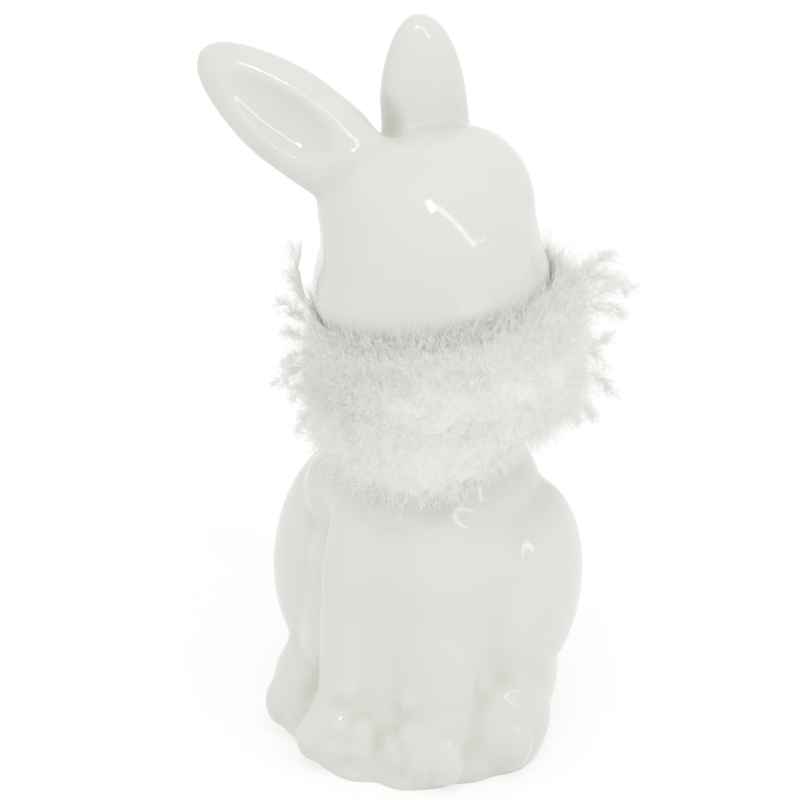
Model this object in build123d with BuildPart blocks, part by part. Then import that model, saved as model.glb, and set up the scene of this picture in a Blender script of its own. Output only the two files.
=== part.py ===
"""Sitting ceramic rabbit, slip-cast in sections, with a turning collar of down feathers.

The rabbit faces -Y, its left side is +X and it stands on the XY plane. The origin is on the
base under the middle of the neck, which is the axis that the collar turns about. Sizes in mm.
"""
import os
from math import cos, degrees, radians, sin, sqrt

from build123d import *

os.makedirs("parts", exist_ok=True)

# Cast walls, and the air vent in the base
WALL = 3.4
BASE_WALL = 4.0
VENT_RADIUS = 1.5
VENT_BACK = 10.0

# Torso, from the flat base to the round shoulders and the neck
BELLY_HALF_WIDTH = 27.5
BELLY_HALF_DEPTH = 25.0
BELLY_BACK = 5.0
SHOULDER_HEIGHT = 58.0
SHOULDER_RADIUS = 23.0
NECK_RISE = 19.0
NECK_RADIUS = 16.2
NECK_LENGTH = 10.0

# Haunches
HAUNCH_HALF_WIDTH = 13.5
HAUNCH_HALF_DEPTH = 20.0
HAUNCH_HALF_HEIGHT = 28.0
HAUNCH_HEIGHT = 33.0
HAUNCH_BACK = 3.0
HAUNCH_PROUD = 4.5

# Hind feet
FOOT_HALF_WIDTH = 8.4
FOOT_HALF_LENGTH = 13.0
FOOT_HALF_HEIGHT = 12.5
FOOT_HEIGHT = 8.5
FOOT_SPREAD = 21.0
FOOT_FRONT = 9.5

# Front legs and paws
LEG_RADIUS = 8.0
LEG_TOP_HEIGHT = 47.0
LEG_SPREAD = 6.6
LEG_FRONT = 21.0
PAW_HALF_WIDTH = 8.5
PAW_HALF_LENGTH = 11.0
PAW_HALF_HEIGHT = 10.5
PAW_HEIGHT = 7.5
PAW_SPREAD = 8.7
PAW_FRONT = 22.5

# Head, turned to the rabbit's left and tipped a little to its right
HEAD_RISE = 18.0
HEAD_HALF_WIDTH = 23.0
HEAD_HALF_DEPTH = 24.5
HEAD_CROWN = 26.0
HEAD_UNDER = 19.0
MUZZLE_HALF_WIDTH = 10.5
MUZZLE_HALF_LENGTH = 11.0
MUZZLE_HALF_HEIGHT = 9.0
MUZZLE_FRONT = 14.5
MUZZLE_DROP = 2.5

# Ears
RIGHT_EAR_LENGTH = 37.0
LEFT_EAR_LENGTH = 25.5
EAR_HALF_WIDTH = 10.2
EAR_HALF_THICKNESS = 5.6
EAR_SINK = 13.0
EAR_RIM = 2.0
EAR_HOLLOW_DEPTH = 6.2

# Tail
TAIL_RADIUS = 8.5
TAIL_HEIGHT = 15.0
TAIL_SINK = 3.0

# Collar of down on a cord, free to turn on the neck
RUN_CLEARANCE = 0.5
HEAD_CLEARANCE = 1.3
CORD_RADIUS = 1.3
CORD_RISE = 3.0
CORD_FIT = 0.1
KNOT_RADIUS = 2.8
KNOT_LENGTH = 5.0
PLUME_COUNT = 12
PLUME_REACH = 30.5
PLUME_SWING = 4.5
PLUME_HALF_LENGTH = 14.0
PLUME_HALF_WIDTH = 11.0
PLUME_UP = 22.0
PLUME_DOWN = 20.0
PLUME_SAG = 1.5
PLUME_GAP = 0.2

# Angles in degrees
HAUNCH_LEAN_ANGLE = 14.0
HEAD_TURN_ANGLE = 38.0
HEAD_TIP_ANGLE = -6.0
HEAD_NOD_ANGLE = 4.0
RIGHT_EAR_ANGLES = (-46.0, -32.0, 15.0)
LEFT_EAR_ANGLES = (7.0, -8.0, -166.0)
NAPE_ANGLE = 90.0
QUARTER_ANGLE = 90.0

# Shares of the torso's height, half width, half depth and set-back, from the base up
TORSO_SHARES = (
    (0.0, 0.8, 0.84, 0.9),
    (0.16, 0.95, 0.98, 1.0),
    (0.45, 1.0, 1.0, 1.0),
    (0.84, 0.99, 0.93, 0.4),
)

# Widest part of the ears, and the foot and top of their hollows, as shares of the length
EAR_WIDEST_SHARE = 0.4
HOLLOW_SHARES = (0.03, 0.92)

# Where the ears root on the head, as shares of its half width and half depth
RIGHT_EAR_SHARES = (-0.54, 0.3)
LEFT_EAR_SHARES = (0.26, 0.58)


def ellipsoid(half_width, half_depth, half_height):
    """A rounded form with these half sizes along X, Y and Z."""
    with BuildPart() as form:
        Sphere(1)
        scale(by=(half_width, half_depth, half_height))
    return form.part


def egg(half_width, half_depth, crown, under):
    """A rounded form that rises and drops by different heights from its widest ring."""
    with BuildPart() as form:
        with BuildSketch(Plane.XZ):
            with BuildLine():
                EllipticalCenterArc((0, 0), half_width, crown, 0, arc_size=QUARTER_ANGLE)
                EllipticalCenterArc((0, 0), half_width, under, -QUARTER_ANGLE, arc_size=QUARTER_ANGLE)
                Line((0, crown), (0, -under))
            make_face()
        revolve(axis=Axis.Z)
        scale(by=(1, half_depth / half_width, 1))
    return form.part


def upright_plane(turn):
    """The half plane through the neck axis that faces this way round."""
    across = radians(turn)
    return Plane((0, 0, 0), x_dir=(cos(across), sin(across), 0), z_dir=(sin(across), -cos(across), 0))


def torso(inset):
    """The belly between the base and the shoulders, drawn in by an inset."""
    with BuildPart() as form:
        for height_share, width_share, depth_share, back_share in TORSO_SHARES:
            with BuildSketch(Plane.XY.offset(SHOULDER_HEIGHT * height_share)):
                with Locations((0, BELLY_BACK * back_share)):
                    Ellipse(BELLY_HALF_WIDTH * width_share - inset, BELLY_HALF_DEPTH * depth_share - inset)
        with BuildSketch(Plane.XY.offset(SHOULDER_HEIGHT)):
            Ellipse(SHOULDER_RADIUS - inset, SHOULDER_RADIUS - inset)
        loft()
    return form.part


def shoulder_outline(grow):
    """Half of the shoulders and neck up to the seam, seen from the side and let out by a growth."""
    with BuildSketch() as outline:
        with BuildLine():
            slope = Spline(
                (SHOULDER_RADIUS + grow, SHOULDER_HEIGHT),
                (NECK_RADIUS + grow, neck_height),
                tangents=((-NECK_RISE, NECK_RISE), (0, NECK_RISE)),
            )
            Polyline(
                slope @ 1,
                (NECK_RADIUS + grow, seam_height),
                (0, seam_height),
                (0, SHOULDER_HEIGHT),
                slope @ 0,
            )
        make_face()
    return outline.sketch


def shoulders(grow):
    """The round shoulders and neck up to the seam."""
    with BuildPart() as form:
        with BuildSketch(Plane.XZ):
            add(shoulder_outline(grow))
        revolve(axis=Axis.Z)
    return form.part


def haunch_place(side):
    """Where a haunch sits on its side of the body, with its top leaning back."""
    return Location((side * haunch_spread, HAUNCH_BACK, HAUNCH_HEIGHT), (-HAUNCH_LEAN_ANGLE, 0, 0))


def ear_place(root_shares, pose):
    """Where an ear roots on the crown and how it leans, in the head's own frame."""
    across, back = root_shares
    lean_out, lean_back, twist = pose
    root = (
        HEAD_HALF_WIDTH * across,
        HEAD_HALF_DEPTH * back,
        HEAD_CROWN * sqrt(1 - across**2 - back**2),
    )
    return head_place * Location(root, (0, lean_out, 0)) * Rotation(X=lean_back) * Rotation(Z=twist)


neck_height = SHOULDER_HEIGHT + NECK_RISE
seam_height = neck_height + NECK_LENGTH
head_height = seam_height + HEAD_RISE
cord_height = neck_height + CORD_RISE
haunch_spread = BELLY_HALF_WIDTH + HAUNCH_PROUD - HAUNCH_HALF_WIDTH
haunch_lean = radians(HAUNCH_LEAN_ANGLE)
haunch_rise = sqrt((HAUNCH_HALF_HEIGHT * cos(haunch_lean)) ** 2 + (HAUNCH_HALF_DEPTH * sin(haunch_lean)) ** 2)
back_top = max(SHOULDER_HEIGHT, HAUNCH_HEIGHT + haunch_rise)
head_facing = Location((0, 0, head_height), (0, 0, HEAD_TURN_ANGLE))
head_place = head_facing * Rotation(Y=HEAD_TIP_ANGLE) * Rotation(X=HEAD_NOD_ANGLE)
head_room = max(HEAD_HALF_WIDTH, HEAD_HALF_DEPTH) + HEAD_CLEARANCE
muzzle_fall = MUZZLE_DROP + MUZZLE_FRONT * sin(radians(HEAD_NOD_ANGLE))
cord_ring = NECK_RADIUS + RUN_CLEARANCE + CORD_RADIUS
knot_turn = degrees(KNOT_LENGTH / cord_ring)
plume_turn = (360 - knot_turn) / PLUME_COUNT
gap_turn = degrees(PLUME_GAP / cord_ring)
hollow_low, hollow_high = HOLLOW_SHARES

# Hollow body casting: torso, haunches, hind feet, front legs and paws
with BuildPart() as body:
    add(torso(0))
    add(shoulders(0))
    for side in (-1, 1):
        with Locations(haunch_place(side)):
            add(ellipsoid(HAUNCH_HALF_WIDTH, HAUNCH_HALF_DEPTH, HAUNCH_HALF_HEIGHT))
        with Locations((side * FOOT_SPREAD, -FOOT_FRONT, FOOT_HEIGHT)):
            add(ellipsoid(FOOT_HALF_WIDTH, FOOT_HALF_LENGTH, FOOT_HALF_HEIGHT))
        with BuildSketch(Plane.XY.offset(PAW_HEIGHT)):
            with Locations((side * LEG_SPREAD, -LEG_FRONT)):
                Circle(LEG_RADIUS)
        extrude(amount=LEG_TOP_HEIGHT - PAW_HEIGHT)
        with Locations((side * LEG_SPREAD, -LEG_FRONT, LEG_TOP_HEIGHT)):
            Sphere(LEG_RADIUS)
        with Locations((side * PAW_SPREAD, -PAW_FRONT, PAW_HEIGHT)):
            add(ellipsoid(PAW_HALF_WIDTH, PAW_HALF_LENGTH, PAW_HALF_HEIGHT))
    split(bisect_by=Plane.XY)

with BuildPart() as cavity:
    add(torso(WALL))
    add(shoulders(-WALL))
    for side in (-1, 1):
        with Locations(haunch_place(side)):
            add(ellipsoid(HAUNCH_HALF_WIDTH - WALL, HAUNCH_HALF_DEPTH - WALL, HAUNCH_HALF_HEIGHT - WALL))
    split(bisect_by=Plane.XY.offset(BASE_WALL))

with BuildPart() as body_casting:
    add(body.part)
    add(cavity.part, mode=Mode.SUBTRACT)
    with BuildSketch():
        with Locations((0, VENT_BACK)):
            Circle(VENT_RADIUS)
    extrude(amount=BASE_WALL + WALL, mode=Mode.SUBTRACT)
body_casting.part.label = "body"
export_step(body_casting.part, "parts/body.step")

# Hollow head casting on its neck stub
with BuildPart() as head:
    with Locations(head_place):
        add(egg(HEAD_HALF_WIDTH, HEAD_HALF_DEPTH, HEAD_CROWN, HEAD_UNDER))
    with Locations(head_place * Location((0, -MUZZLE_FRONT, -MUZZLE_DROP))):
        add(ellipsoid(MUZZLE_HALF_WIDTH, MUZZLE_HALF_LENGTH, MUZZLE_HALF_HEIGHT))
    with BuildSketch(Plane.XY.offset(seam_height)):
        Circle(NECK_RADIUS)
    extrude(amount=HEAD_RISE)
    split(bisect_by=Plane.XY.offset(seam_height))

with BuildPart() as head_casting:
    add(head.part)
    with Locations(head_place):
        add(
            egg(HEAD_HALF_WIDTH - WALL, HEAD_HALF_DEPTH - WALL, HEAD_CROWN - WALL, HEAD_UNDER - WALL),
            mode=Mode.SUBTRACT,
        )
    with BuildSketch(Plane.XY.offset(seam_height)):
        Circle(NECK_RADIUS - WALL)
    extrude(amount=HEAD_RISE, mode=Mode.SUBTRACT)
head_casting.part.label = "head"
export_step(head_casting.part, "parts/head.step")

# Ears, each scooped out on its open side and trimmed to the head
for ear_name, length, root_shares, pose in (
    ("right_ear", RIGHT_EAR_LENGTH, RIGHT_EAR_SHARES, RIGHT_EAR_ANGLES),
    ("left_ear", LEFT_EAR_LENGTH, LEFT_EAR_SHARES, LEFT_EAR_ANGLES),
):
    widest = length * EAR_WIDEST_SHARE
    place = ear_place(root_shares, pose) * Location((0, 0, widest))
    with BuildPart() as ear:
        with Locations(place):
            add(egg(EAR_HALF_WIDTH, EAR_HALF_THICKNESS, length - widest, widest + EAR_SINK))
        with Locations(place * Location((0, -EAR_HALF_THICKNESS, 0))):
            add(
                egg(
                    EAR_HALF_WIDTH - EAR_RIM,
                    EAR_HOLLOW_DEPTH,
                    length * hollow_high - widest,
                    widest - length * hollow_low,
                ),
                mode=Mode.SUBTRACT,
            )
        add(head.part, mode=Mode.SUBTRACT)
    ear.part.label = ear_name
    export_step(ear.part, f"parts/{ear_name}.step")

# Tail, seated on the back of the body
with BuildPart() as tail:
    with Locations((0, BELLY_BACK + BELLY_HALF_DEPTH + TAIL_RADIUS - TAIL_SINK, TAIL_HEIGHT)):
        Sphere(TAIL_RADIUS)
    add(body.part, mode=Mode.SUBTRACT)
tail.part.label = "tail"
export_step(tail.part, "parts/tail.step")

# Cord, open at the nape where the knot closes it
with BuildPart() as collar_cord:
    with BuildSketch(upright_plane(NAPE_ANGLE + knot_turn / 2)):
        with Locations((cord_ring, cord_height)):
            Circle(CORD_RADIUS)
    revolve(axis=Axis.Z, revolution_arc=360 - knot_turn)
collar_cord.part.label = "collar_cord"
export_step(collar_cord.part, "parts/collar_cord.step")

# Knot between the two ends of the cord, flattened against the neck
with BuildPart() as collar_knot:
    with BuildSketch(upright_plane(NAPE_ANGLE - knot_turn / 2)):
        with Locations((cord_ring, cord_height)):
            Circle(KNOT_RADIUS)
        with Locations((NECK_RADIUS + RUN_CLEARANCE, cord_height)):
            Rectangle(2 * KNOT_RADIUS, 2 * KNOT_RADIUS, align=(Align.MAX, Align.CENTER), mode=Mode.SUBTRACT)
    revolve(axis=Axis.Z, revolution_arc=knot_turn)
collar_knot.part.label = "collar_knot"
export_step(collar_knot.part, "parts/collar_knot.step")

# Bunches of down side by side along the cord, longest towards the rabbit's left, with room
# left free for the neck, the shoulders, the head and the cord as the collar turns
for number in range(PLUME_COUNT):
    start = NAPE_ANGLE + knot_turn / 2 + plume_turn * number
    middle = start + plume_turn / 2
    reach = PLUME_REACH + PLUME_SWING * cos(radians(middle))
    down = PLUME_DOWN - PLUME_SAG * sin(radians(middle))
    with BuildPart() as plume:
        with BuildSketch(upright_plane(start + gap_turn / 2)):
            with Locations((NECK_RADIUS + RUN_CLEARANCE, back_top + RUN_CLEARANCE)):
                Rectangle(reach, cord_height + PLUME_UP - back_top, align=(Align.MIN, Align.MIN))
            add(shoulder_outline(RUN_CLEARANCE), mode=Mode.SUBTRACT)
            with Locations((0, head_height)):
                Ellipse(head_room, HEAD_UNDER + HEAD_CLEARANCE, mode=Mode.SUBTRACT)
            with Locations((MUZZLE_FRONT, head_height - muzzle_fall)):
                Ellipse(
                    MUZZLE_HALF_LENGTH + RUN_CLEARANCE,
                    MUZZLE_HALF_HEIGHT + RUN_CLEARANCE,
                    mode=Mode.SUBTRACT,
                )
            with Locations((cord_ring, cord_height)):
                Circle(CORD_RADIUS + CORD_FIT, mode=Mode.SUBTRACT)
        revolve(axis=Axis.Z, revolution_arc=plume_turn - gap_turn)
        outward = Location((0, 0, cord_height), (0, 0, middle))
        with Locations(outward * Location((reach - PLUME_HALF_LENGTH, 0, 0))):
            add(egg(PLUME_HALF_LENGTH, PLUME_HALF_WIDTH, PLUME_UP, down), mode=Mode.INTERSECT)
    plume_name = f"plume_{number + 1:02d}"
    plume.part.label = plume_name
    export_step(plume.part, f"parts/{plume_name}.step")
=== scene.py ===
"""Looks of the sitting ceramic rabbit with its turning collar of down, in metres."""
import math

import bpy
import numpy as np
from mathutils import Matrix, Vector


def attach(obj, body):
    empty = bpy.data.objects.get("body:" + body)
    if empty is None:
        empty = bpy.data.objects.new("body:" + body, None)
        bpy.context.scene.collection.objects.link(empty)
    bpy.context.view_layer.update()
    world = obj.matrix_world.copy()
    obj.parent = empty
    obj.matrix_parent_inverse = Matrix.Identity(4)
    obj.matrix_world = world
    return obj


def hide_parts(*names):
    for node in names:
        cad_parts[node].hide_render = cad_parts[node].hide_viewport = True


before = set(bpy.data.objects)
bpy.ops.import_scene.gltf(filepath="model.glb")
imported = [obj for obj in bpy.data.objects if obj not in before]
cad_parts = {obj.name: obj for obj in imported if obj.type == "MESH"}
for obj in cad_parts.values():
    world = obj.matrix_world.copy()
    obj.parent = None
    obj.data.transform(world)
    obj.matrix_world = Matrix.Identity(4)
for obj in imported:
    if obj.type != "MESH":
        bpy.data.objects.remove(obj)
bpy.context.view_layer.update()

MM = 0.001
# Heights in mm: the joint of the two castings, the head's middle, and the cord of the collar
SEAM = 87.0
HEAD_HEIGHT = 105
CORD_HEIGHT = 80
HEAD_PLACE = (
    Matrix.Translation((0, 0, HEAD_HEIGHT * MM))
    @ Matrix.Rotation(math.radians(38), 4, "Z")
    @ Matrix.Rotation(math.radians(-6), 4, "Y")
    @ Matrix.Rotation(math.radians(4), 4, "X")
)


def pick(*pieces):
    """Leaves only these pieces selected, the first one active."""
    bpy.ops.object.select_all(action="DESELECT")
    for piece in pieces:
        piece.select_set(True)
    bpy.context.view_layer.objects.active = pieces[0]


def ball(place, halves, lean=(0, 0, 0)):
    """A rounded lump of clay: its middle and half sizes in mm, its lean in degrees."""
    bpy.ops.object.select_all(action="DESELECT")
    bpy.ops.mesh.primitive_uv_sphere_add(
        segments=72,
        ring_count=48,
        radius=1,
        location=[v * MM for v in place],
        rotation=[math.radians(v) for v in lean],
        scale=[v * MM for v in halves],
    )
    bpy.ops.object.transform_apply(location=True, rotation=True, scale=True)
    return bpy.context.active_object


def egg(halves, crown, under):
    """A lump that rises and drops by different heights from its widest ring, round the origin."""
    lump = ball((0, 0, 0), (halves[0], halves[1], 1))
    bpy.ops.object.mode_set(mode="EDIT")
    for above, rise in ((True, crown), (False, under)):
        bpy.ops.mesh.select_all(action="DESELECT")
        bpy.ops.object.mode_set(mode="OBJECT")
        for v in lump.data.vertices:
            v.select = v.co.z > 1e-7 if above else v.co.z < -1e-7
        bpy.ops.object.mode_set(mode="EDIT")
        bpy.ops.transform.resize(value=(1, 1, rise), center_override=(0, 0, 0))
    bpy.ops.object.mode_set(mode="OBJECT")
    return lump


def stack(rings):
    """Draws up a turned form. A ring is its height, half width and depth, and middle in X and Y, in mm."""
    bpy.ops.object.select_all(action="DESELECT")
    height, wide, deep, across, back = rings[0]
    bpy.ops.mesh.primitive_circle_add(
        vertices=96, radius=MM, fill_type="NGON", location=(across * MM, back * MM, height * MM)
    )
    bpy.ops.object.transform_apply(location=True, rotation=False, scale=False)
    bpy.ops.object.mode_set(mode="EDIT")
    bpy.ops.transform.resize(value=(wide, deep, 1), center_override=(across * MM, back * MM, height * MM))
    for last, ring in zip(rings, rings[1:]):
        step = [(ring[3] - last[3]) * MM, (ring[4] - last[4]) * MM, (ring[0] - last[0]) * MM]
        bpy.ops.mesh.extrude_region_move(TRANSFORM_OT_translate={"value": step})
        bpy.ops.transform.resize(
            value=(ring[1] / last[1], ring[2] / last[2], 1),
            center_override=(ring[3] * MM, ring[4] * MM, ring[0] * MM),
        )
    bpy.ops.mesh.select_all(action="SELECT")
    bpy.ops.mesh.normals_make_consistent(inside=False)
    bpy.ops.object.mode_set(mode="OBJECT")
    return bpy.context.active_object


def put(piece, place):
    """Turns and moves a piece, and keeps its place in its mesh."""
    pick(piece)
    piece.matrix_world = place
    bpy.ops.object.transform_apply(location=True, rotation=True, scale=True)
    return piece


def join(*lumps):
    pick(*lumps)
    bpy.ops.object.join()
    return bpy.context.active_object


def press_together(lump, grain):
    """Makes one skin of the lumps, as slip does in its mould."""
    pick(lump)
    skin = lump.modifiers.new("skin", "REMESH")
    skin.mode = "VOXEL"
    skin.voxel_size = grain * MM
    bpy.ops.object.modifier_apply(modifier=skin.name)
    return lump


def sponge(lump, passes, share=0.5):
    """Wipes the creases soft over the whole skin."""
    pick(lump)
    wipe = lump.modifiers.new("wipe", "SMOOTH")
    wipe.factor = share
    wipe.iterations = passes
    bpy.ops.object.modifier_apply(modifier=wipe.name)
    return lump


def cut(lump, tool, way):
    """Cuts a lump with a tool, or keeps only what is inside it. The tool stays."""
    pick(lump)
    knife = lump.modifiers.new("knife", "BOOLEAN")
    knife.operation = way
    knife.solver = "MANIFOLD"
    knife.object = tool
    bpy.ops.object.modifier_apply(modifier=knife.name)
    return lump


def block(low, high, place=None):
    """A cutting block between two corners in mm."""
    bpy.ops.object.select_all(action="DESELECT")
    middle = [(a + b) / 2 * MM for a, b in zip(low, high)]
    sides = [(b - a) * MM for a, b in zip(low, high)]
    bpy.ops.mesh.primitive_cube_add(size=1, location=middle, scale=sides)
    bpy.ops.object.transform_apply(location=True, rotation=True, scale=True)
    tool = bpy.context.active_object
    return put(tool, place) if place else tool


def copy_of(piece):
    pick(piece)
    bpy.ops.object.duplicate()
    return bpy.context.active_object


def drop(*pieces):
    for piece in pieces:
        bpy.data.objects.remove(piece)


def points_of(piece):
    flat = np.empty(len(piece.data.vertices) * 3, np.float32)
    piece.data.vertices.foreach_get("co", flat)
    return flat.reshape(-1, 3).astype(float)


def normals_of(piece):
    flat = np.empty(len(piece.data.vertices) * 3, np.float32)
    piece.data.vertices.foreach_get("normal", flat)
    return flat.reshape(-1, 3).astype(float)


def set_points(piece, points):
    piece.data.vertices.foreach_set("co", points.astype(np.float32).ravel())
    piece.data.update()


def thumb(piece, place, depth, halves):
    """Presses the clay in (depth above zero) or pulls it up, round a place and within half sizes, in mm."""
    points, normals = points_of(piece), normals_of(piece)
    away = (points / MM - np.array(place)) / np.array(halves)
    near = np.clip(1 - (away**2).sum(1), 0, 1) ** 2
    set_points(piece, points - normals * (near * depth * MM)[:, None])


def wipe_near(piece, place, reach, passes):
    """Wipes the skin soft round one place, fading out at its reach, all in mm."""
    far = np.linalg.norm(points_of(piece) / MM - np.array(place), axis=1)
    weight = np.clip(1.6 * (1 - far / reach), 0, 1)
    near = piece.vertex_groups.new(name="near")
    for index in np.nonzero(weight)[0]:
        near.add([int(index)], weight[index], "REPLACE")
    pick(piece)
    wipe = piece.modifiers.new("wipe", "SMOOTH")
    wipe.factor = 0.5
    wipe.iterations = passes
    wipe.vertex_group = near.name
    bpy.ops.object.modifier_apply(modifier=wipe.name)
    piece.vertex_groups.clear()


def pool_glaze_and_shade(piece):
    """Marks the creases by how far a wiped copy rises over them, for glaze that pools there and for painted
    shade in the creases.
    """
    wiped = sponge(copy_of(piece), 60)
    rise = ((points_of(wiped) - points_of(piece)) * normals_of(piece)).sum(1) / MM
    drop(wiped)
    mark = piece.data.attributes.new("pooled_and_shaded", "FLOAT", "POINT")
    mark.data.foreach_set("value", np.clip(rise / 0.5, 0, 1).astype(np.float32))


# Body casting. Rings of its turned forms, as stack takes them
TORSO = (
    (-6, 21, 20, 0, 4.5),
    (0, 22, 21, 0, 4.5),
    (9.3, 24.5, 24.5, 0, 5),
    (26.1, 25, 25, 0, 5),
    (48.7, 24.5, 23.3, 0, 2),
    (58, 22.8, 23, 0, 0),
    (64, 19.4, 19.4, 0, 0),
    (70, 17.2, 17.2, 0, 0),
    (77, 16.3, 16.3, 0, 0),
    (92, 16.2, 16.2, 0, 0),
)
FRONT_PANEL = (
    (2, 19.5, 16.6, 1, -13),
    (20, 19.7, 15.2, 1.3, -12.8),
    (34, 20.5, 15.4, 2, -12.2),
    (46, 21.6, 16, 3, -10.3),
    (54, 19.2, 15.4, 2, -8),
    (62, 14, 13, 0.5, -5),
    (68, 12, 10, 0, -3),
)
RIGHT_FLANK = (
    (8, 5.5, 6.5, -16.2, -13.5),
    (26, 6, 6.8, -16, -14),
    (44, 6, 6.8, -15, -12),
    (54, 4.5, 5, -13, -8.5),
)
VENT = ((-1, 1.5, 1.5, 0, 10), (4, 1.5, 1.5, 0, 10))
# Its rounded lumps, as ball takes them
LEFT_HAUNCH = (20, 1, 34.5), (12.6, 18.5, 22.5), (-20, 0, 0)
RIGHT_HAUNCH = (-19.6, 3, 34.3), (13.9, 20, 24.3), (-14, 0, 0)
LEFT_FLANK = (22.4, -2, 15), (6.2, 14, 15)
RIGHT_SHOULDER = (-13.5, -5, 53.5), (11, 11, 11)
BETWEEN_PAWS = (0, -21.6, 3), (7, 9.6, 8.5)
TAIL = (0, 35.5, 15), (8.7, 8.7, 8.7)
# Toes beside the middle of a paw, and knuckles on the paws and hind feet, in mm
TOES = (-5.4, 0, 5.4)
KNUCKLES = (
    (-8.4, -31.3, 12),
    (-3.2, -29, 11),
    (-7.3, -28.8, 19),
    (6.3, -30.3, 12.4),
    (13.6, -26.9, 15),
    (5.8, -28.5, 19),
    (18.5, -17.5, 20.5),
    (24.5, -12.5, 20.5),
    (26, -17, 15.5),
    (-19.3, -20.3, 15.4),
)
# Grain in mm to which lumps are pressed together
COARSE, FINE = 0.6, 0.45


def front_leg(side):
    """The left leg is a little wider than the right, and both stand a little to the left."""
    wide, aside = 9.4 + 0.7 * side, 0.7
    return stack(
        [
            (5, wide, 8.4, aside + side * 8.2, -21.2),
            (20, wide, 8.1, aside + side * 7.8, -20.8),
            (44, wide + 0.2, 8.2, aside + side * 7.4, -19.2),
            (56, wide - 0.2, 8.0, aside + side * 6.6, -15.4),
            (64, 7, 6, side * 5.2, -11),
        ]
    )


def make_body():
    lumps = [stack(TORSO), ball(*LEFT_HAUNCH), ball(*RIGHT_HAUNCH), stack(FRONT_PANEL)]
    lumps += [ball(*LEFT_FLANK), ball(*RIGHT_SHOULDER), ball(*BETWEEN_PAWS), stack(RIGHT_FLANK)]
    for side in (-1, 1):
        lumps.append(ball((side * 21, -9.5, 8.5), (8.9, 13.3, 12.9)))  # hind foot
        lumps.append(ball((side * 15.5, -14.5, 3), (8, 11.5, 8)))  # base between foot and paw
        lumps.append(ball((side * 5, -21.3, 0.5), (8, 10.8, 6.5)))  # base under the paw
        lumps.append(front_leg(side))
        lumps.append(ball((side * 9.2, -21.6, 7.3), (9.1, 10.6, 11.2)))  # paw
    body = press_together(join(*lumps), COARSE)
    sponge(body, 22)
    small = [ball(*TAIL)]
    for side in (-1, 1):
        for toe in TOES:
            small.append(ball((side * 9.2 + toe, -28.5 + 0.16 * abs(toe), 6.5), (3.9, 4.2, 5.6)))
            small.append(ball((side * 21 + toe * 0.85, -18.9 + 0.2 * abs(toe), 7.5), (3.7, 4, 5.8)))
    body = press_together(join(body, *small), COARSE)
    sponge(body, 14)
    for knuckle in KNUCKLES:
        thumb(body, knuckle, -1.1, (3.4, 3.4, 3.4))
    for side in (-1, 1):
        wipe_near(body, (side * 23, -14, 21), 9, 60)  # foot and haunch
        wipe_near(body, (side * 15, -24, 6), 7, 50)  # foot and paw
    for turn in range(0, 360, 60):
        aside, over = math.cos(math.radians(turn)), math.sin(math.radians(turn))
        thumb(body, (aside * 5.2, 41.4, 15 + over * 5.2), -0.9, (3.2, 4, 3.2))
    thumb(body, (0, 44, 15), -0.9, (3.2, 4, 3.2))
    sponge(body, 3)
    pool_glaze_and_shade(body)
    under = block((-60, -60, -40), (60, 60, 0))
    above = block((-60, -60, SEAM), (60, 60, SEAM + 40))
    for tool in (under, above, stack(VENT)):
        cut(body, tool, "DIFFERENCE")
        drop(tool)
    rear = block((-20, 31, 2), (20, 60, 40))
    tail = cut(copy_of(body), rear, "INTERSECT")
    cut(body, rear, "DIFFERENCE")
    drop(rear)
    body.name = "glazed_body"
    tail.name = "glazed_tail"
    return body, tail


# Head casting with both ears, in the head's own upright frame until it is set on the neck. Sizes in mm
HEAD_WIDE, HEAD_DEEP, HEAD_CROWN, HEAD_UNDER = 23, 24.5, 26, 19
NECK_WIDE = 16.2


def ear_frame(across, back, lean_out, lean_back, twist):
    """Where an ear grows: its root as shares of the head's half sizes, its leans and twist in degrees."""
    rise = math.sqrt(1 - across**2 - back**2)
    root = Vector((HEAD_WIDE * across, HEAD_DEEP * back, HEAD_CROWN * rise)) * MM
    return (
        Matrix.Translation(root)
        @ Matrix.Rotation(math.radians(lean_out), 4, "Y")
        @ Matrix.Rotation(math.radians(lean_back), 4, "X")
        @ Matrix.Rotation(math.radians(twist), 4, "Z")
    )


# Half width of each ear along its length, from under the root to the tip, as shares
LEFT_BLADE = (
    (-0.36, 0.95),
    (-0.15, 1.02),
    (0.0, 1.0),
    (0.2, 0.975),
    (0.4, 0.915),
    (0.5, 0.866),
    (0.6, 0.8),
    (0.7, 0.715),
    (0.8, 0.6),
    (0.88, 0.475),
    (0.94, 0.34),
    (0.98, 0.2),
    (1.0, 0.06),
)
RIGHT_BLADE = (
    (-0.36, 0.84),
    (-0.15, 0.92),
    (0.0, 0.93),
    (0.2, 0.965),
    (0.4, 0.975),
    (0.5, 0.945),
    (0.6, 0.88),
    (0.7, 0.785),
    (0.8, 0.665),
    (0.88, 0.535),
    (0.94, 0.4),
    (0.98, 0.24),
    (1.0, 0.06),
)


EAR_THICK = 5.6
SCOOP_START = ((0.0, 0.1), (0.03, 0.45), (0.1, 0.75), (0.2, 0.93))
SCOOP_DEEP, SCOOP_FRONT = 5.2, -7.2


def make_ear(place, blade, length, wide, scoop_wide, scoop_aside):
    ear = stack([(length * at, wide * w, EAR_THICK * w**0.6, 0, 0) for at, w in blade])
    rings = []
    for at, w in SCOOP_START + blade[4:-1]:
        height = length * (0.08 + 0.86 * at)
        rings.append((height, scoop_wide * w, SCOOP_DEEP * w, scoop_aside * w, SCOOP_FRONT))
    hollow = stack(rings)
    cut(ear, hollow, "DIFFERENCE")
    drop(hollow)
    return put(ear, place)


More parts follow.
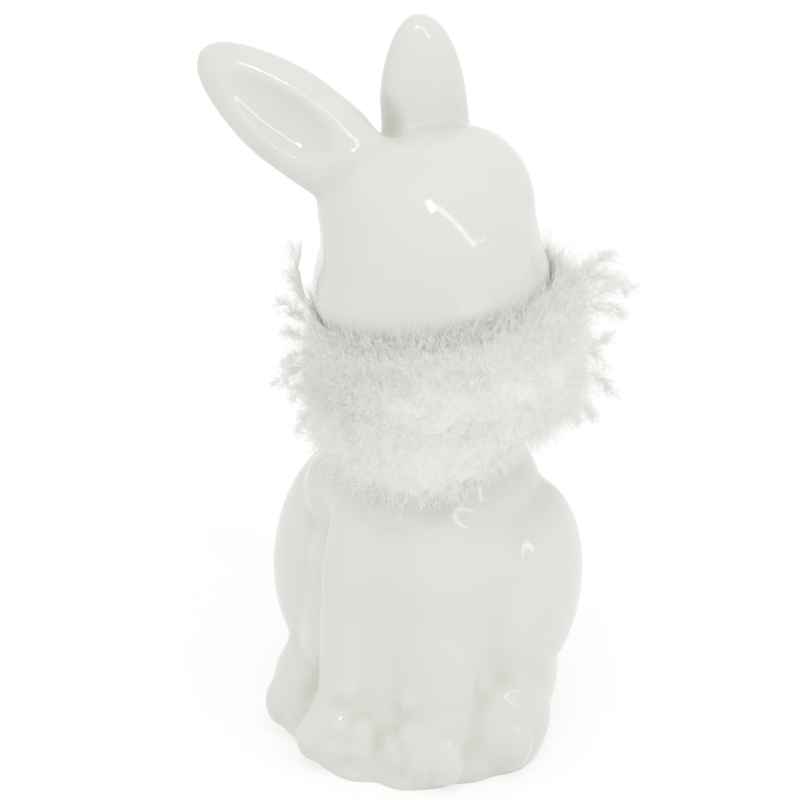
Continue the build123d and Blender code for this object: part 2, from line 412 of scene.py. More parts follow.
# Round of the cheeks below the face: height over the head's middle, and half width
CHEEKS = (
    (-15, 17.2),
    (-13, 20.5),
    (-11, 22.6),
    (-9, 23.7),
    (-7, 24.1),
    (-5, 24.4),
    (-3, 24.5),
    (-1, 24.2),
    (1, 23.0),
    (3, 20.2),
)


def make_head():
    muzzle = ball((0, -14.5, -1.2), (10.7, 11.2, 8.2))
    lumps = [egg((HEAD_WIDE, HEAD_DEEP), HEAD_CROWN, HEAD_UNDER), muzzle]
    for side in (-1, 1):  # temples
        lumps.append(ball((side * 9 + 0.7, 2, 9.5), (13.2 + 0.3 * side, 16, 15.4)))
    neck = stack([(-26, NECK_WIDE, NECK_WIDE, 0, 0), (0, NECK_WIDE, NECK_WIDE, 0, 0)])
    cheeks = stack([(rise, wide, wide, 0.3, 0.1) for rise, wide in CHEEKS])
    upright = HEAD_PLACE.inverted() @ Matrix.Translation((0, 0, HEAD_HEIGHT * MM))
    lumps += [put(neck, upright), put(cheeks, upright)]
    head = press_together(join(*lumps), COARSE)
    sponge(head, 40)
    wipe_near(head, (-22, 8, -2), 13, 100)
    thumb(head, (-22, 7, 3), 1.5, (12, 14, 12))  # side of the head under the right ear
    for side in (-1, 1):  # eyes
        thumb(head, (side * 12.5, -19.2, 7), 0.4, (6.5, 7, 5))
        thumb(head, (side * 12.8, -19.2, 7), -0.35, (4, 5, 2.6))
    thumb(head, (0, -21, 9), -0.5, (5.5, 9, 13))  # bridge
    thumb(head, (0, -25.4, 0), -0.5, (3.4, 4, 2.4))  # nose
    right = ear_frame(-0.53, 0.3, -47, -32, 15)
    left = ear_frame(0.25, 0.568, 4, -8, -166)
    right_ear = make_ear(right, RIGHT_BLADE, 37, 10.2, 6.6, -2.0)
    left_ear = make_ear(left, LEFT_BLADE, 24.5, 10.4, 7.6, 0)
    head = press_together(join(head, right_ear, left_ear), FINE)
    sponge(head, 16)
    wipe_near(head, right.translation / MM, 15, 60)
    wipe_near(head, left.translation / MM, 15, 140)
    thumb(head, (-3.6, 10.4, 25), 1.6, (5, 6, 8))  # dip between the ears
    pool_glaze_and_shade(head)
    pieces = []
    for place, name in ((right, "glazed_right_ear"), (left, "glazed_left_ear")):
        above = block((-20, -20, 3), (20, 20, 60), place)
        ear = cut(copy_of(head), above, "INTERSECT")
        cut(head, above, "DIFFERENCE")
        drop(above)
        ear.name = name
        pieces.append(put(ear, HEAD_PLACE))
    put(head, HEAD_PLACE)
    under = block((-60, -60, 0), (60, 60, SEAM))
    cut(head, under, "DIFFERENCE")
    drop(under)
    head.name = "glazed_head"
    return head, *pieces


# Collar of down
class Down:
    """Gathers fine tapering strands of three sides, closed at both ends, into one mesh."""

    def __init__(self):
        self.points, self.corners, self.sizes, self.count, self.soft = [], [], [], 0, 0

    def add(self, points, *face_sets):
        """Adds points in mm, with sets of faces that each have one number of corners."""
        for faces in face_sets:
            self.corners.append((faces + self.count).ravel())
            self.sizes.append(np.full(len(faces), faces.shape[1], np.int32))
        self.points.append(points.reshape(-1, 3))
        self.count += len(self.points[-1])

    def lay(self, lines, radii, rng):
        """Adds strands. Lines are (strands, points, 3) in mm, with one thickness per point but the tip."""
        strands, steps, _ = lines.shape
        along = np.gradient(lines, axis=1)
        along /= np.linalg.norm(along, axis=2, keepdims=True) + 1e-9
        aside = np.cross(along, rng.normal(size=(strands, 1, 3)))
        aside /= np.linalg.norm(aside, axis=2, keepdims=True) + 1e-9
        other = np.cross(along, aside)
        thick = np.asarray(radii)[None, :, None]
        rings = []
        for turn in (0, 2 * math.pi / 3, 4 * math.pi / 3):
            rings.append((lines + (math.cos(turn) * aside + math.sin(turn) * other) * thick)[:, :-1])
        ring = np.stack(rings, 2).reshape(strands, (steps - 1) * 3, 3)
        points = np.concatenate([ring, lines[:, -1:]], 1)
        base = np.arange(strands)[:, None] * ((steps - 1) * 3 + 1)
        last = (steps - 2) * 3
        tips = [
            [last, last + 1, last + 3],
            [last + 1, last + 2, last + 3],
            [last + 2, last, last + 3],
            [0, 2, 1],
        ]
        quads = [
            [k * 3 + i, k * 3 + j, k * 3 + 3 + j, k * 3 + 3 + i]
            for k in range(steps - 2)
            for i, j in ((0, 1), (1, 2), (2, 0))
        ]
        faces = [(base[:, None] + np.array(tips)).reshape(-1, 3)]
        if quads:
            faces.append((base[:, None] + np.array(quads)).reshape(-1, 4))
        self.add(points, *faces)

    def mesh(self, name):
        points, corners, sizes = map(np.concatenate, (self.points, self.corners, self.sizes))
        made = bpy.data.meshes.new(name)
        made.vertices.add(len(points))
        made.vertices.foreach_set("co", (points * MM).astype(np.float32).ravel())
        made.loops.add(len(corners))
        made.loops.foreach_set("vertex_index", corners.astype(np.int32))
        made.polygons.add(len(sizes))
        made.polygons.foreach_set("loop_start", (np.cumsum(sizes) - sizes).astype(np.int32))
        made.polygons.foreach_set("use_smooth", np.arange(len(sizes)) < self.soft)
        made.update(calc_edges=True)
        piece = bpy.data.objects.new(name, made)
        bpy.context.scene.collection.objects.link(piece)
        return piece


# Room that the head needs as the collar turns round it: height, and distance from the neck's axis, in mm
HEAD_ROOM = (
    (86, 19.5),
    (90, 19.8),
    (92, 21.5),
    (94, 23.6),
    (96, 24.6),
    (98, 25.0),
    (100, 25.5),
    (102, 26.0),
    (104, 26.0),
    (106, 25.4),
    (110, 24.9),
)
# Room that the back needs under the collar: distance from the neck's axis, and height, in mm
BACK_ROOM = (
    (17, 75.5),
    (18, 69.6),
    (19, 66.8),
    (20, 64.4),
    (21, 63.1),
    (24, 61.8),
    (26, 60.7),
    (28, 59.1),
    (30, 56.7),
    (32, 53.0),
)


def head_room(height):
    """How far from the neck's axis the down has to stay at a height, in mm."""
    return np.interp(height, *zip(*HEAD_ROOM))


def back_room(round_):
    """How high the down has to stay at a distance from the neck's axis, in mm."""
    return np.interp(round_, *zip(*BACK_ROOM))


def keep_clear(points):
    """Moves points in mm out of the room that the head, neck and back need as the collar turns."""
    round_ = np.hypot(points[..., 0], points[..., 1])
    turn = np.arctan2(points[..., 1], points[..., 0])
    height = np.maximum(points[..., 2], back_room(round_))
    round_ = np.maximum(round_, head_room(height))
    return np.stack([round_ * np.cos(turn), round_ * np.sin(turn), height], -1)


# How far the down hangs below the cord, by the way round in degrees, in mm
HANG = (
    (0, 7.5),
    (20, 9.5),
    (45, 12),
    (80, 13.5),
    (120, 14),
    (150, 15.5),
    (180, 18),
    (200, 19),
    (230, 20.3),
    (260, 21),
    (290, 20.3),
    (310, 16),
    (325, 11),
    (342, 7.5),
)


# The mass of down in mm: its reach from the neck's axis and rise over the cord, how much more of both there
# is on the fuller side, the depth of its rounded edge, the neck's room, and how far out its middle is set
REACH, REACH_MORE = 28.3, 4.5
RISE, RISE_MORE = 21.2, 2.6
EDGE_DEEP = 14
NECK_ROOM, MIDDLE_OUT = 19.5, 0.8
CORE = 0.93  # share of the mass that is core, and not loose ends
UP = np.array([0, 0, 1.0])


def unit(ways):
    return ways / (np.linalg.norm(ways, axis=-1, keepdims=True) + 1e-9)


def mass_reach(turn):
    return REACH + REACH_MORE * np.cos(turn)


def mass_inner(turn):
    """How far the middle of the mass is from the neck's axis."""
    return (NECK_ROOM + mass_reach(turn)) / 2 + MIDDLE_OUT


def mass_middle(turn):
    inner = mass_inner(turn)
    return np.stack([inner * np.cos(turn), inner * np.sin(turn), np.full_like(turn, CORD_HEIGHT)], -1)


def mass_edge(turn, around, share):
    """The skin of the mass of down: turn goes round the neck, around goes round the upright cut. In mm."""
    inner = mass_inner(turn)
    step = np.linspace(0.1, 26, 400)
    round_ = inner[..., None] + step * np.cos(around)[..., None]
    height = CORD_HEIGHT + step * np.sin(around)[..., None]
    above = height > CORD_HEIGHT
    rise = (RISE + RISE_MORE * np.cos(turn - math.radians(35)))[..., None]
    hang = np.interp(np.degrees(turn), *zip(*HANG), period=360)[..., None]
    aside = np.maximum(round_ - (mass_reach(turn) - EDGE_DEEP)[..., None], 0) / EDGE_DEEP
    square = np.where(above, 3.3, (2.9 - 0.7 * np.cos(turn - math.radians(20)))[..., None])
    over = abs(height - CORD_HEIGHT) / np.where(above, rise, hang)
    inside = aside**square + over**square < share**square
    inside &= (round_ > head_room(height)) & (height > back_room(round_))
    far = step[np.maximum(np.cumprod(inside, -1).sum(-1) - 1, 0)]
    round_, height = inner + far * np.cos(around), CORD_HEIGHT + far * np.sin(around)
    return np.stack([round_ * np.cos(turn), round_ * np.sin(turn), height], -1)


def round_ways(turn):
    """The ways straight out from the neck and on round it."""
    level = np.zeros_like(turn)
    radial = np.stack([np.cos(turn), np.sin(turn), level], -1)
    return radial, np.stack([-np.sin(turn), np.cos(turn), level], -1)


def skin_ways(turn, around):
    """The ways straight out of the mass of down and up along its upright cut."""
    along = mass_edge(turn, around + 0.05, CORE) - mass_edge(turn, around - 0.05, CORE)
    radial = round_ways(turn)[0]
    run, rise = (along * radial).sum(-1, keepdims=True), along[..., 2:]
    return unit(radial * rise - UP * run), unit(radial * run + UP * rise)


def barbs(down, rng, root, go, long_, thick, droop):
    """Lays curled barbs from their roots. Roots and ways are (barbs, 3), lengths in mm."""
    steps = 5
    t = np.linspace(0, 1, steps)[None, :, None]
    count = len(root)
    curl = rng.normal(0, 0.45, (count, 1, 3)) + np.array([0, 0, -droop])
    line = root[:, None] + (go[:, None] * t + curl * t**2 * 0.6) * long_[:, None, None]
    wave = np.sin(t * rng.uniform(4, 8, (count, 1, 1)) + rng.uniform(0, 6.3, (count, 1, 1)))
    line = keep_clear(line + wave * t * rng.normal(0, 0.22, (count, 1, 3)))
    down.lay(line, np.linspace(thick, thick * 0.4, steps), rng)
    return line


def fringe(down, rng, line, fine, low, high, thick):
    """Sets fine threads along barbs."""
    count, steps, _ = line.shape
    at = rng.uniform(0.08, 1, (count, fine)) * (steps - 1.001)
    first = at.astype(int)
    part = (at - first)[..., None]
    row = np.arange(count)[:, None]
    begin = line[row, first] * (1 - part) + line[row, first + 1] * part
    ahead = unit(line[row, first + 1] - line[row, first])
    fork = rng.normal(size=(count, fine, 3))
    fork = unit(fork - ahead * (fork * ahead).sum(2, keepdims=True))
    far = begin + (ahead * 0.7 + fork * 0.8) * rng.uniform(low, high, (count, fine, 1))
    twig = np.stack([begin, far], 2).reshape(-1, 2, 3)
    down.lay(keep_clear(twig), np.array([thick, thick * 0.5]), rng)


def wisp(down, rng, root, tip, arch):
    """A feather's end that stands out of the mass: a bent shaft with barbs and their threads. In mm."""
    root, tip = np.array(root, float), np.array(tip, float)
    steps = 8
    t = np.linspace(0, 1, steps)[:, None]
    shaft = root + (tip - root) * t + np.array([0, 0, arch]) * 4 * t * (1 - t)
    shaft = keep_clear(shaft + rng.normal(0, 0.12, shaft.shape) * t)
    down.lay(shaft[None], np.linspace(0.1, 0.035, steps), rng)
    length = np.linalg.norm(tip - root)
    count = int(8 * length)
    at = np.sort(rng.uniform(0.05, 0.98, count)) * (steps - 1.001)
    first = at.astype(int)
    part = (at - first)[:, None]
    begin = shaft[first] * (1 - part) + shaft[first + 1] * part
    ahead = unit(shaft[first + 1] - shaft[first])
    fork = rng.normal(size=(count, 3))
    fork = unit(fork - ahead * (fork * ahead).sum(1, keepdims=True))
    go = unit(ahead * rng.uniform(0.5, 1.1, (count, 1)) + fork * rng.uniform(0.4, 0.9, (count, 1)))
    long_ = np.clip(0.5 * length * (1.15 - at / steps) * rng.uniform(0.6, 1.3, count), 1.5, 4.6)
    line = barbs(down, rng, begin, go, long_, 0.045, 0.1)
    fringe(down, rng, line, 9, 0.4, 1.2, 0.03)


def at_side(side, round_, height):
    """A place beside the neck, seen from the front corner: side is the way round in degrees."""
    return (round_ * math.cos(math.radians(side)), round_ * math.sin(math.radians(side)), height)


# Feather ends that stand out at the rabbit's two sides: the plume counted from nought, way round in degrees,
# root and tip as distance and height, and arch, in mm
WISPS = (
    (3, 201, (24.6, 97.0), (27.4, 109.0), -0.6),
    (3, 206, (24.6, 95.0), (27.6, 103.0), 0.6),
    (3, 196, (24.4, 88.7), (30.0, 95.3), 1.2),
    (3, 200, (24.4, 86.5), (28.6, 88.5), 1.0),
    (3, 204, (24.6, 84.5), (28.6, 82.2), 0.8),
    (3, 198, (24.6, 80.5), (31.2, 76.4), 1.2),
    (3, 203, (24.2, 77.0), (27.6, 73.6), 0.6),
    (3, 200, (23.6, 71.5), (26.4, 67.3), 0.3),
    (9, 14, (29.0, 99.0), (33.0, 105.0), 0.5),
    (9, 20, (30.0, 99.5), (37.2, 106.0), 0.8),
    (9, 23, (31.0, 97.5), (42.0, 97.0), 2.2),
    (9, 17, (31.5, 95.5), (40.0, 99.0), 1.6),
    (9, 20, (32.0, 94.0), (40.2, 92.0), 1.6),
    (9, 15, (32.5, 86.5), (36.8, 82.6), 0.8),
    (9, 22, (32.5, 84.0), (36.5, 86.5), 0.6),
    (9, 20, (32.5, 79.5), (38.2, 75.0), 1.0),
    (9, 18, (31.0, 74.0), (34.8, 69.0), 0.5),
    (9, 24, (29.0, 72.0), (31.5, 66.5), 0.3),
)


# Twelve plumes round the neck from the nape: where they start and how wide each is, in degrees, and the two
# whose ends meet there
PLUMES = 12
PLUME_START, PLUME_WIDE = 97.96, 28.67
WEDGE = math.radians(PLUME_WIDE)
DOWN_SEED = 400
NAPE_ENDS = {0: -1, PLUMES - 1: 1}


def lay_core(down, number, start, at_nape):
    """The soft core of a plume, sunk at its ends so that it runs into the next one."""
    across, around = 22, 72
    share = np.linspace(-0.04, 1.04, across)[:, None] + np.zeros((1, around))
    turn = start + WEDGE * share
    sink = np.clip((abs(share - 0.5) - 0.47) / 0.07, 0, 1) ** 2
    if at_nape:
        sink = sink + 4 * np.clip((at_nape * (share - 0.5) - 0.36) / 0.18, 0, 1) ** 2
    swing = np.linspace(0, 2 * math.pi, around, endpoint=False)[None, :] + np.zeros((across, 1))
    lumps = np.sin(31 * turn + 3 * np.sin(5 * swing)) * np.sin(9 * swing + 2 * np.sin(13 * turn))
    small = np.sin(67 * turn + 4 * np.sin(8 * swing)) * np.sin(21 * swing + 3 * np.sin(29 * turn))
    deep = 0.6 + 0.12 * (number % 3) - 0.35 * (lumps + 0.6 * small)
    core = mass_edge(turn, swing, CORE) - skin_ways(turn, swing)[0] * deep[..., None]
    core = keep_clear(core - unit(core - mass_middle(turn)) * sink[..., None])
    ids = np.arange(across * around).reshape(across, around)
    beside = np.roll(ids, -1, 1)
    skin = np.stack([ids[:-1], ids[1:], beside[1:], beside[:-1]], -1).reshape(-1, 4)
    down.add(core, skin, np.array([ids[0], ids[-1][::-1]]))
    down.soft = len(skin)


def lay_coat(down, rng, start):
    """Downy barbs spread evenly over the core."""
    count = 1650
    turn = start + WEDGE * rng.uniform(0, 1, count)
    arc = np.radians(np.linspace(-110, 140, 300))
    cut_line = mass_edge(np.full(300, start + WEDGE / 2), arc, 1)
    length = np.cumsum(np.linalg.norm(np.diff(cut_line, axis=0, prepend=cut_line[:1]), axis=1))
    swing = np.interp(rng.uniform(0, length[-1], count), length, arc)
    straight, along = skin_ways(turn, swing)
    root = mass_edge(turn, swing, CORE) - straight * rng.uniform(0.6, 1.6, (count, 1))
    crest = np.clip((root[:, 2:] - 88) / 8, 0, 1)
    go = unit(
        straight * rng.uniform(0.3, 0.8, (count, 1))
        + round_ways(turn)[1] * rng.normal(0, 0.55, (count, 1))
        + along * rng.normal(0, 0.55, (count, 1))
        + UP * (0.6 * crest - 0.2)
    )
    long_ = rng.uniform(2.4, 4.6, count) * (1 + 0.25 * crest[:, 0])
    line = barbs(down, rng, root, go, long_, 0.055, 0.25)
    fringe(down, rng, line, 9, 0.45, 1.3, 0.034)


def lay_rim(down, rng, start):
    """A soft rim that stands up against the face."""
    count = 620
    turn = start + WEDGE * rng.uniform(0, 1, count)
    root = mass_edge(turn, np.radians(rng.uniform(66, 104, count)), CORE) - UP
    lean = round_ways(turn)[0] * rng.normal(0.12, 0.2, (count, 1))
    go = unit(UP + lean + rng.normal(0, 0.3, (count, 3)))
    line = barbs(down, rng, root, go, rng.uniform(3, 6.5, count), 0.05, 0.0)
    fringe(down, rng, line, 6, 0.45, 1.2, 0.032)


def lay_nape(down, rng, start, at_nape):
    """Down that closes the collar where its two ends meet."""
    count = 560
    turn = start + WEDGE * (0.5 + at_nape * rng.uniform(0.38, 0.5, count))
    middle = mass_middle(turn)
    edge = mass_edge(turn, rng.uniform(-1.6, 1.7, count), CORE)
    root = middle + (edge - middle) * np.sqrt(rng.uniform(0.25, 1, (count, 1)))
    straight = skin_ways(turn, np.zeros(count))[0]
    go = unit(round_ways(turn)[1] * at_nape + 0.45 * straight + rng.normal(0, 0.4, (count, 3)))
    line = barbs(down, rng, root, go, rng.uniform(4, 7, count), 0.05, 0.1)
    fringe(down, rng, line, 9, 0.45, 1.3, 0.034)


def make_plume(number):
    rng = np.random.default_rng(DOWN_SEED + number)
    down = Down()
    start = math.radians(PLUME_START + PLUME_WIDE * number)
    at_nape = NAPE_ENDS.get(number, 0)
    lay_core(down, number, start, at_nape)
    lay_coat(down, rng, start)
    lay_rim(down, rng, start)
    if at_nape:
        lay_nape(down, rng, start, at_nape)
    for plume, side, root, tip, arch in WISPS:
        if plume == number:
            for spread in (0, 1.2):
                begin = np.array(at_side(side, *root)) + rng.normal(0, 0.6, 3) * spread
                end = np.array(at_side(side + rng.uniform(-3, 3), *tip)) + rng.normal(0, 1.1, 3) * spread
                wisp(down, rng, begin, begin + (end - begin) * (1 - 0.15 * spread), arch)
    return down.mesh(f"down_plume_{number + 1:02d}")


# Cord of three twisted yarns, and the knot that closes it at the nape
def yarn(points, thick, closed):
    """A round yarn along points in mm."""
    line = bpy.data.curves.new("yarn", "CURVE")
    line.dimensions = "3D"
    line.bevel_depth = thick * MM
    line.bevel_resolution = 2
    line.use_fill_caps = True
    spline = line.splines.new("POLY")
    spline.points.add(len(points) - 1)
    places = np.c_[np.array(points) * MM, np.ones(len(points))]
    spline.points.foreach_set("co", places.astype(np.float32).ravel())
    spline.use_cyclic_u = closed
    piece = bpy.data.objects.new("yarn", line)
    bpy.context.scene.collection.objects.link(piece)
    pick(piece)
    bpy.ops.object.convert(target="MESH")
    return bpy.context.active_object


# The cord's ring round the neck, its twist and the thickness of a yarn, in mm
CORD_RING, CORD_TWIST, YARN = 18, 0.62, 0.64


def make_cord():
    turn = np.radians(np.linspace(98.2, 441.8, 420))
    yarns = []
    for start in (0, 120, 240):
        twist = turn * 21 + math.radians(start)
        round_ = CORD_RING + CORD_TWIST * np.cos(twist)
        height = CORD_HEIGHT + CORD_TWIST * np.sin(twist)
        yarns.append(yarn(np.c_[round_ * np.cos(turn), round_ * np.sin(turn), height], YARN, False))
    cord = join(*yarns)
    cord.name = "twisted_cord"
    return cord


def make_knot():
    t = np.linspace(0, 2 * math.pi, 160, endpoint=False)
    across, rise = np.sin(t) + 2 * np.sin(2 * t), np.cos(t) - 2 * np.cos(2 * t)
    back = CORD_RING + 0.35 - np.sin(3 * t) * 0.72
    knot = yarn(np.c_[across * 0.62, back, CORD_HEIGHT + rise * 0.62], 0.85, True)
    knot.name = "cord_knot"
    return knot


# Finishes
def add_node(tree, kind, settings=None, **values):
    """Adds a node, with its settings and the values of its named inputs."""
    made = tree.nodes.new(kind)
    for name, value in (settings or {}).items():
        setattr(made, name, value)
    for name, value in values.items():
        made.inputs[name.replace("_", " ")].default_value = value
    return made


def cloud_group():
    """Soft uneven patches over a piece, between two values."""
    tree = bpy.data.node_groups.new("soft_patches", "ShaderNodeTree")
    for name in ("Scale", "Low", "High"):
        tree.interface.new_socket(name, in_out="INPUT", socket_type="NodeSocketFloat")
    tree.interface.new_socket("Value", in_out="OUTPUT", socket_type="NodeSocketFloat")
    into, out = tree.nodes.new("NodeGroupInput"), tree.nodes.new("NodeGroupOutput")
    place = tree.nodes.new("ShaderNodeTexCoord")
    noise = add_node(tree, "ShaderNodeTexNoise", Detail=3.0, Roughness=0.55)
    spread = add_node(tree, "ShaderNodeMapRange", From_Min=0.3, From_Max=0.7)
    tree.links.new(place.outputs["Object"], noise.inputs["Vector"])
    tree.links.new(into.outputs["Scale"], noise.inputs["Scale"])
    tree.links.new(noise.outputs[0], spread.inputs["Value"])
    tree.links.new(into.outputs["Low"], spread.inputs["To Min"])
    tree.links.new(into.outputs["High"], spread.inputs["To Max"])
    tree.links.new(spread.outputs[0], out.inputs["Value"])
    return tree


def patches(tree, group, scale, low, high):
    made = tree.nodes.new("ShaderNodeGroup")
    made.node_tree = group
    made.inputs["Scale"].default_value = scale
    made.inputs["Low"].default_value = low
    made.inputs["High"].default_value = high
    return made.outputs["Value"]


def blend_colours(tree, factor, first, second):
    """Mixes two colours, either of which may be the output of another node."""
    made = add_node(tree, "ShaderNodeMix", {"data_type": "RGBA"})
    tree.links.new(factor, made.inputs[0])
    for socket, colour in ((made.inputs[6], first), (made.inputs[7], second)):
        if isinstance(colour, tuple):
            socket.default_value = (*colour, 1)
        else:
            tree.links.new(colour, socket)
    return made.outputs[2]


def raise_skin(tree, height, distance, strength, under=None):
    made = add_node(tree, "ShaderNodeBump", Distance=distance, Strength=strength)
    tree.links.new(height, made.inputs["Height"])
    if under:
        tree.links.new(under, made.inputs["Normal"])
    return made.outputs[0]


def finish_of(name):
    made = bpy.data.materials.new(name)
    made.use_nodes = True
    return made, made.node_tree, made.node_tree.nodes["Principled BSDF"]


def white_glaze(group):
    made, tree, shader = finish_of("white_glaze")
    fired = patches(tree, group, 48, 0, 1)
    thin = blend_colours(tree, fired, (0.775, 0.77, 0.735), (0.745, 0.74, 0.7))
    # Creases painted darker and yellower: partly glaze that pools there, partly painted shade where less
    # light reaches
    pool_and_shade = add_node(tree, "ShaderNodeAttribute", {"attribute_name": "pooled_and_shaded"})
    colour = blend_colours(tree, pool_and_shade.outputs["Fac"], thin, (0.69, 0.675, 0.58))
    tree.links.new(colour, shader.inputs["Base Color"])
    tree.links.new(patches(tree, group, 160, 0.025, 0.06), shader.inputs["Roughness"])
    shader.inputs["IOR"].default_value = 1.6
    wavy = raise_skin(tree, patches(tree, group, 85, 0, 1), 0.0003, 0.1)
    pitted = raise_skin(tree, patches(tree, group, 1100, 0, 1), 0.00003, 0.12, wavy)
    tree.links.new(pitted, shader.inputs["Normal"])
    return made


def matt_finish(name, group, colours, dull, relief, shine):
    """A matt finish: two colours in patches, uneven roughness, a fine relief, and how much it shines."""
    made, tree, shader = finish_of(name)
    scale, first, second = colours
    colour = blend_colours(tree, patches(tree, group, scale, 0, 1), first, second)
    tree.links.new(colour, shader.inputs["Base Color"])
    tree.links.new(patches(tree, group, *dull), shader.inputs["Roughness"])
    scale, deep, strong = relief
    skin = raise_skin(tree, patches(tree, group, scale, 0, 1), deep, strong)
    tree.links.new(skin, shader.inputs["Normal"])
    shader.inputs["Specular IOR Level"].default_value = shine
    return made


def bare_clay(group):
    colours = 420, (0.7, 0.665, 0.585), (0.6, 0.555, 0.47)
    return matt_finish("bare_clay", group, colours, (300, 0.8, 0.95), (1800, 0.0001, 0.4), 0.5)


def white_down(group):
    colours = 210, (0.965, 0.965, 0.948), (0.935, 0.935, 0.912)
    return matt_finish("white_down", group, colours, (500, 0.7, 0.9), (2600, 0.0002, 0.3), 0.2)


def cotton_cord(group):
    colours = 1500, (0.86, 0.85, 0.8), (0.76, 0.745, 0.68)
    return matt_finish("cotton_cord", group, colours, (900, 0.8, 0.95), (5000, 0.0001, 0.5), 0.2)


def bare_base(piece):
    """Leaves the flat underside unglazed."""
    for face in piece.data.polygons:
        face.material_index = int(face.normal.z < -0.95 and face.center.z < 0.0003)


# Stage
def seen_as_white(tree):
    """One where the camera looks, also by reflection or through a piece, and nought for other light."""
    path = tree.nodes.new("ShaderNodeLightPath")
    most = path.outputs["Is Camera Ray"]
    for kind in ("Is Glossy Ray", "Is Transmission Ray"):
        either = add_node(tree, "ShaderNodeMath", {"operation": "MAXIMUM"})
        tree.links.new(most, either.inputs[0])
        tree.links.new(path.outputs[kind], either.inputs[1])
        most = either.outputs[0]
    return most


def make_floor():
    bpy.ops.object.select_all(action="DESELECT")
    bpy.ops.mesh.primitive_plane_add(size=6)
    floor = bpy.context.active_object
    floor.name = "floor"
    white = bpy.data.materials.new("floor_white")
    white.use_nodes = True
    tree = white.node_tree
    tree.nodes.remove(tree.nodes["Principled BSDF"])
    pale = add_node(tree, "ShaderNodeBsdfDiffuse", Color=(0.92, 0.92, 0.92, 1))
    shaded = add_node(tree, "ShaderNodeBsdfDiffuse", Color=(0.42, 0.42, 0.42, 1))
    lit = add_node(tree, "ShaderNodeEmission", Color=(1, 1, 1, 1), Strength=0.61)
    bright = tree.nodes.new("ShaderNodeAddShader")
    choice = tree.nodes.new("ShaderNodeMixShader")
    tree.links.new(shaded.outputs[0], bright.inputs[0])
    tree.links.new(lit.outputs[0], bright.inputs[1])
    tree.links.new(seen_as_white(tree), choice.inputs[0])
    tree.links.new(pale.outputs[0], choice.inputs[1])
    tree.links.new(bright.outputs[0], choice.inputs[2])
    tree.links.new(choice.outputs[0], tree.nodes["Material Output"].inputs["Surface"])
    floor.data.materials.append(white)


def make_studio(scene):
    world = bpy.data.worlds.new("studio")
    scene.world = world
    world.use_nodes = True
    tree = world.node_tree
    soft = tree.nodes["Background"]
    soft.inputs["Color"].default_value = (1, 1, 1, 1)
    aim = add_node(tree, "ShaderNodeVectorMath", {"operation": "DOT_PRODUCT"})
    aim.inputs[1].default_value = (-0.05, -0.76, 0.65)
    glow = add_node(tree, "ShaderNodeMapRange", From_Min=-1.0, From_Max=1.0, To_Min=0.81, To_Max=0.96)
    tree.links.new(tree.nodes.new("ShaderNodeTexCoord").outputs["Generated"], aim.inputs[0])
    tree.links.new(aim.outputs["Value"], glow.inputs["Value"])
    tree.links.new(glow.outputs[0], soft.inputs["Strength"])
    white = add_node(tree, "ShaderNodeBackground", Color=(1, 1, 1, 1), Strength=1.0)
    choice = tree.nodes.new("ShaderNodeMixShader")
    tree.links.new(seen_as_white(tree), choice.inputs[0])
    tree.links.new(soft.outputs[0], choice.inputs[1])
    tree.links.new(white.outputs[0], choice.inputs[2])
    tree.links.new(choice.outputs[0], tree.nodes["World Output"].inputs["Surface"])


LAMP_AIM = 0.1  # height on the figurine that the lamps face, in metres


def strip_lamp(name, first, last, wide, power):
    """A long soft box between two points, facing the figurine."""
    first, last = Vector(first), Vector(last)
    along = (last - first).normalized()
    facing = (Vector((0, 0, LAMP_AIM)) - (first + last) / 2).normalized()
    facing = (facing - along * facing.dot(along)).normalized()
    lamp = bpy.data.lights.new(name, "AREA")
    lamp.shape = "RECTANGLE"
    lamp.size, lamp.size_y = wide, (last - first).length
    lamp.energy = power
    holder = bpy.data.objects.new(name, lamp)
    across = along.cross(-facing)
    turned = Matrix((across, along, -facing)).transposed().to_4x4()
    holder.matrix_world = Matrix.Translation((first + last) / 2) @ turned
    bpy.context.scene.collection.objects.link(holder)


def lamp_spot(turn, rise, far):
    """A place in the studio: way round and rise in degrees, distance in metres from the figurine's head."""
    turn, rise = math.radians(turn), math.radians(rise)
    return (
        far * math.cos(rise) * math.cos(turn),
        far * math.cos(rise) * math.sin(turn),
        LAMP_AIM + far * math.sin(rise),
    )


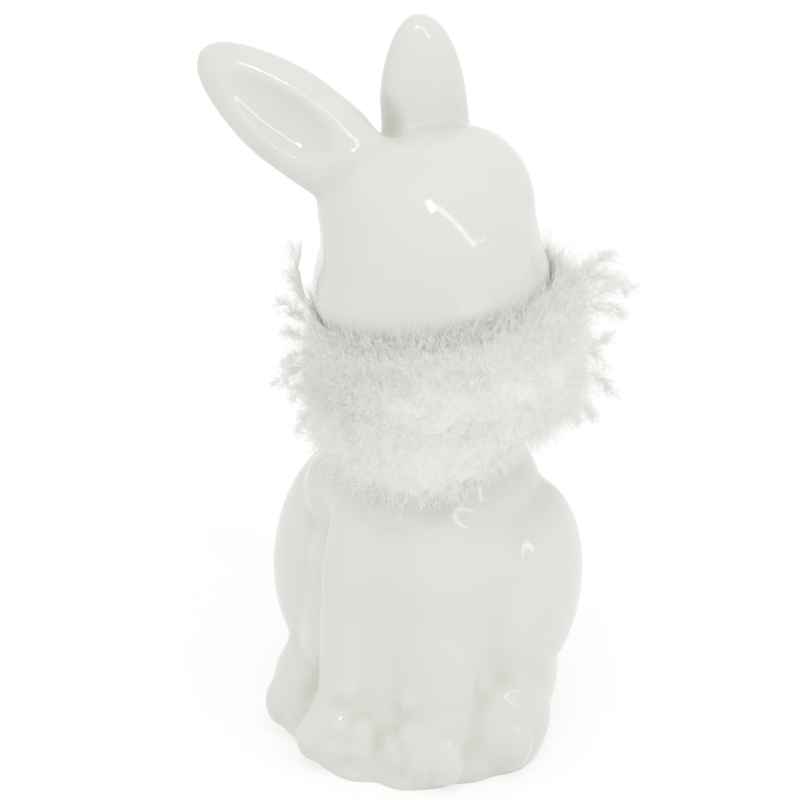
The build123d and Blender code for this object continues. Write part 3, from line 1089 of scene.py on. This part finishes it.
def make_camera(scene):
    """Looks down from the rabbit's front left, as in the photograph."""
    target, far = Vector((-5.5, -1.0, 73.0)) * MM, 0.7
    turn, rise = math.radians(20), math.radians(25)
    away = Vector((math.sin(turn) * math.cos(rise), -math.cos(turn) * math.cos(rise), math.sin(rise)))
    bpy.ops.object.select_all(action="DESELECT")
    bpy.ops.object.camera_add(location=target + away * far)
    camera = bpy.context.active_object
    camera.rotation_euler = (-away).to_track_quat("-Z", "Y").to_euler()
    camera.data.lens = 154
    camera.data.sensor_width = 36
    camera.data.clip_start = 0.01
    scene.camera = camera


def smooth(piece):
    pick(piece)
    bpy.ops.object.shade_smooth_by_angle(angle=math.radians(50))


def dress(piece, carrier, node, finishes):
    """Gives a piece its finishes, and sets it on the part in place of a plain solid."""
    piece.data.materials.clear()
    for finish in finishes:
        piece.data.materials.append(finish)
    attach(piece, carrier)
    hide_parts(node)


scene = bpy.context.scene
scene.view_settings.view_transform = "Standard"
scene.cycles.max_bounces = 16
scene.cycles.diffuse_bounces = 12
uneven = cloud_group()
glaze, clay = white_glaze(uneven), bare_clay(uneven)
down_white, cotton = white_down(uneven), cotton_cord(uneven)

body, tail = make_body()
head, right_ear, left_ear = make_head()
for piece, node, finishes in (
    (body, "body", (glaze, clay)),
    (tail, "tail", (glaze,)),
    (head, "head", (glaze,)),
    (right_ear, "right_ear", (glaze,)),
    (left_ear, "left_ear", (glaze,)),
):
    smooth(piece)
    dress(piece, "figurine", node, finishes)
bare_base(body)

for piece, node in ((make_cord(), "collar_cord"), (make_knot(), "collar_knot")):
    smooth(piece)
    dress(piece, "collar", node, (cotton,))
for number in range(PLUMES):
    dress(make_plume(number), "collar", f"plume_{number + 1:02d}", (down_white,))

make_floor()
make_studio(scene)
strip_lamp("strip_lamp", lamp_spot(353, 20, 0.6), lamp_spot(288, 64, 0.6), 0.05, 0.24)
strip_lamp("top_lamp", lamp_spot(298, 57, 0.6), lamp_spot(286, 68, 0.6), 0.07, 0.12)
make_camera(scene)
